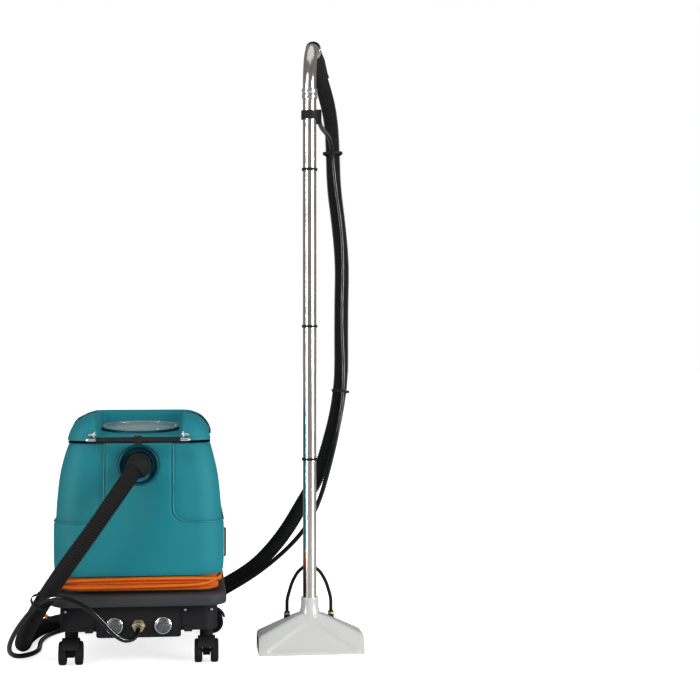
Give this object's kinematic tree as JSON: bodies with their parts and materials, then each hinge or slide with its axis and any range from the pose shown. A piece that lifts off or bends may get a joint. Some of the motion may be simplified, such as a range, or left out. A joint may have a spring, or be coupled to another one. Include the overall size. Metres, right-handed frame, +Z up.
{
  "type": "carpet cleaner machine",
  "caption": "Spray extraction carpet cleaner: wheeled tank machine with wound mains cord, vacuum and solution hoses, and a standing floor wand.",
  "frame": {"origin": "on the floor, centred under the machine and its standing wand together", "axes": "-Y is the machine's front, +X its right seen from the front, +Z up"},
  "size_m": [0.8281, 0.6812, 1.4708],
  "materials": {
    "teal_shell": "moulded satin plastic shell",
    "bumper_grey": "grained dark grey plastic",
    "black_plastic": "grained black plastic",
    "black_rubber": "soft satin rubber",
    "hose_black": "corrugated satin hose",
    "clear_plastic": "clear polished plastic",
    "chrome": "polished",
    "steel": "polished steel tube",
    "white_plastic": "white moulded plastic",
    "cord_orange": "smooth cord sheath",
    "brass": "turned",
    "aluminium": "cast"
  },
  "bodies": {
    "machine": {"chassis": "black_plastic", "bumper_tray": "bumper_grey", "cord_neck": "black_plastic", "solution_tank": "teal_shell", "recovery_tank": "black_plastic", "tank_gasket": "black_rubber", "port_boss": "teal_shell", "inlet_elbow": "black_rubber", "vacuum_motor": "aluminium", "exhaust_duct": "black_plastic", "pump": "aluminium", "supply_line": "hose_black", "terminal_box": "black_plastic", "cord_gland": "black_plastic", "switch_housings": "black_plastic", "switch_boots": "clear_plastic", "coupler_body": "brass", "hose_tail": "steel", "drain_outlet": "black_plastic", "level_tube": "clear_plastic", "vacuum_hose": "hose_black", "solution_hose": "hose_black", "hose_ties": "black_plastic", "cord_winding": "cord_orange", "cord_lead": "cord_orange", "cord_tail": "cord_orange", "mains_plug": "black_plastic"},
    "lid": {"tank_lid": "teal_shell", "dome_collar": "teal_shell", "bail_lugs": "teal_shell", "float_cage": "white_plastic"},
    "bail": {"carry_bail": "chrome", "bail_grip": "black_rubber"},
    "dome": {"inspection_dome": "clear_plastic"},
    "float": {"float_ball": "white_plastic"},
    "rotor": {"motor_rotor": "aluminium"},
    "switch_left": {"switch_left_rocker": "black_plastic"},
    "switch_right": {"switch_right_rocker": "black_plastic"},
    "coupler_sleeve": {"coupler_collar": "chrome"},
    "drain_cap": {"drain_cap": "black_plastic"},
    "wand": {"floor_head": "white_plastic", "head_glide": "black_rubber", "spray_jets": "brass", "jet_lines": "hose_black", "wand_line": "chrome", "wand_tube": "steel", "joint_ring": "chrome", "wand_bend": "steel", "hose_cuff": "black_rubber", "valve_body": "chrome", "wand_ties": "black_plastic"},
    "trigger": {"valve_trigger": "chrome"},
    "swivel_front_left": {"caster_fork_front_left": "black_plastic"},
    "wheels_front_left": {"caster_wheels_front_left": "black_rubber"},
    "swivel_front_right": {"caster_fork_front_right": "black_plastic"},
    "wheels_front_right": {"caster_wheels_front_right": "black_rubber"},
    "swivel_rear_left": {"caster_fork_rear_left": "black_plastic"},
    "wheels_rear_left": {"caster_wheels_rear_left": "black_rubber"},
    "swivel_rear_right": {"caster_fork_rear_right": "black_plastic"},
    "wheels_rear_right": {"caster_wheels_rear_right": "black_rubber"}
  },
  "joints": [
    {"name": "caster_swivel_front_left", "type": "hinge", "parent": "machine", "child": "swivel_front_left", "pos_m": [-0.3175, -0.15513, 0.079], "axis": [0, 0, 1], "continuous": true},
    {"name": "wheel_spin_front_left", "type": "hinge", "parent": "swivel_front_left", "child": "wheels_front_left", "pos_m": [-0.3175, -0.17513, 0.027], "axis": [1, 0, 0], "continuous": true},
    {"name": "caster_swivel_front_right", "type": "hinge", "parent": "machine", "child": "swivel_front_right", "pos_m": [-0.0095, -0.15513, 0.079], "axis": [0, 0, 1], "continuous": true},
    {"name": "wheel_spin_front_right", "type": "hinge", "parent": "swivel_front_right", "child": "wheels_front_right", "pos_m": [-0.0095, -0.17513, 0.027], "axis": [1, 0, 0], "continuous": true},
    {"name": "caster_swivel_rear_left", "type": "hinge", "parent": "machine", "child": "swivel_rear_left", "pos_m": [-0.3175, 0.18887, 0.079], "axis": [0, 0, 1], "continuous": true},
    {"name": "wheel_spin_rear_left", "type": "hinge", "parent": "swivel_rear_left", "child": "wheels_rear_left", "pos_m": [-0.3175, 0.20887, 0.027], "axis": [-1, 0, 0], "continuous": true},
    {"name": "caster_swivel_rear_right", "type": "hinge", "parent": "machine", "child": "swivel_rear_right", "pos_m": [-0.0095, 0.18887, 0.079], "axis": [0, 0, 1], "continuous": true},
    {"name": "wheel_spin_rear_right", "type": "hinge", "parent": "swivel_rear_right", "child": "wheels_rear_right", "pos_m": [0.0105, 0.18887, 0.027], "axis": [0, 1, 0], "continuous": true},
    {"name": "lid_lift", "type": "slide", "parent": "machine", "child": "lid", "axis": [0, 0, 1], "range_m": [0, 0.15]},
    {"name": "bail_swing", "type": "hinge", "parent": "lid", "child": "bail", "pos_m": [-0.1635, -0.18204, 0.525], "axis": [-1, 0, 0], "range_deg": [0, 95]},
    {"name": "dome_lift", "type": "slide", "parent": "lid", "child": "dome", "axis": [0, -0.068, 0.9977], "range_m": [0, 0.04]},
    {"name": "float_rise", "type": "slide", "parent": "lid", "child": "float", "axis": [0, 0, 1], "range_m": [0, 0.024]},
    {"name": "rotor_spin", "type": "hinge", "parent": "machine", "child": "rotor", "pos_m": [-0.1635, 0.08687, 0.09], "axis": [0, 0, 1], "continuous": true},
    {"name": "switch_left_rock", "type": "hinge", "parent": "machine", "child": "switch_left", "pos_m": [-0.2185, -0.19813, 0.091], "axis": [1, 0, 0], "range_deg": [0, 12]},
    {"name": "switch_right_rock", "type": "hinge", "parent": "machine", "child": "switch_right", "pos_m": [-0.1085, -0.19813, 0.091], "axis": [1, 0, 0], "range_deg": [0, 12]},
    {"name": "coupler_release", "type": "slide", "parent": "machine", "child": "coupler_sleeve", "axis": [0, 1, 0], "range_m": [0, 0.006], "stiffness_N_per_m": 300},
    {"name": "drain_cap_turn", "type": "hinge", "parent": "machine", "child": "drain_cap", "pos_m": [-0.0735, 0.25187, 0.24], "axis": [0, 1, 0], "continuous": true},
    {"name": "wand_tilt", "type": "hinge", "parent": "machine", "child": "wand", "pos_m": [0.2385, -0.02313, 0], "axis": [-1, 0, 0], "range_deg": [0, 35], "deforming": ["vacuum_hose", "solution_hose", "hose_ties"]},
    {"name": "trigger_squeeze", "type": "hinge", "parent": "wand", "child": "trigger", "pos_m": [0.2385, -0.03093, 1.302], "axis": [1, 0, 0], "range_deg": [0, 12], "stiffness_Nm_per_rad": 1}
  ]
}
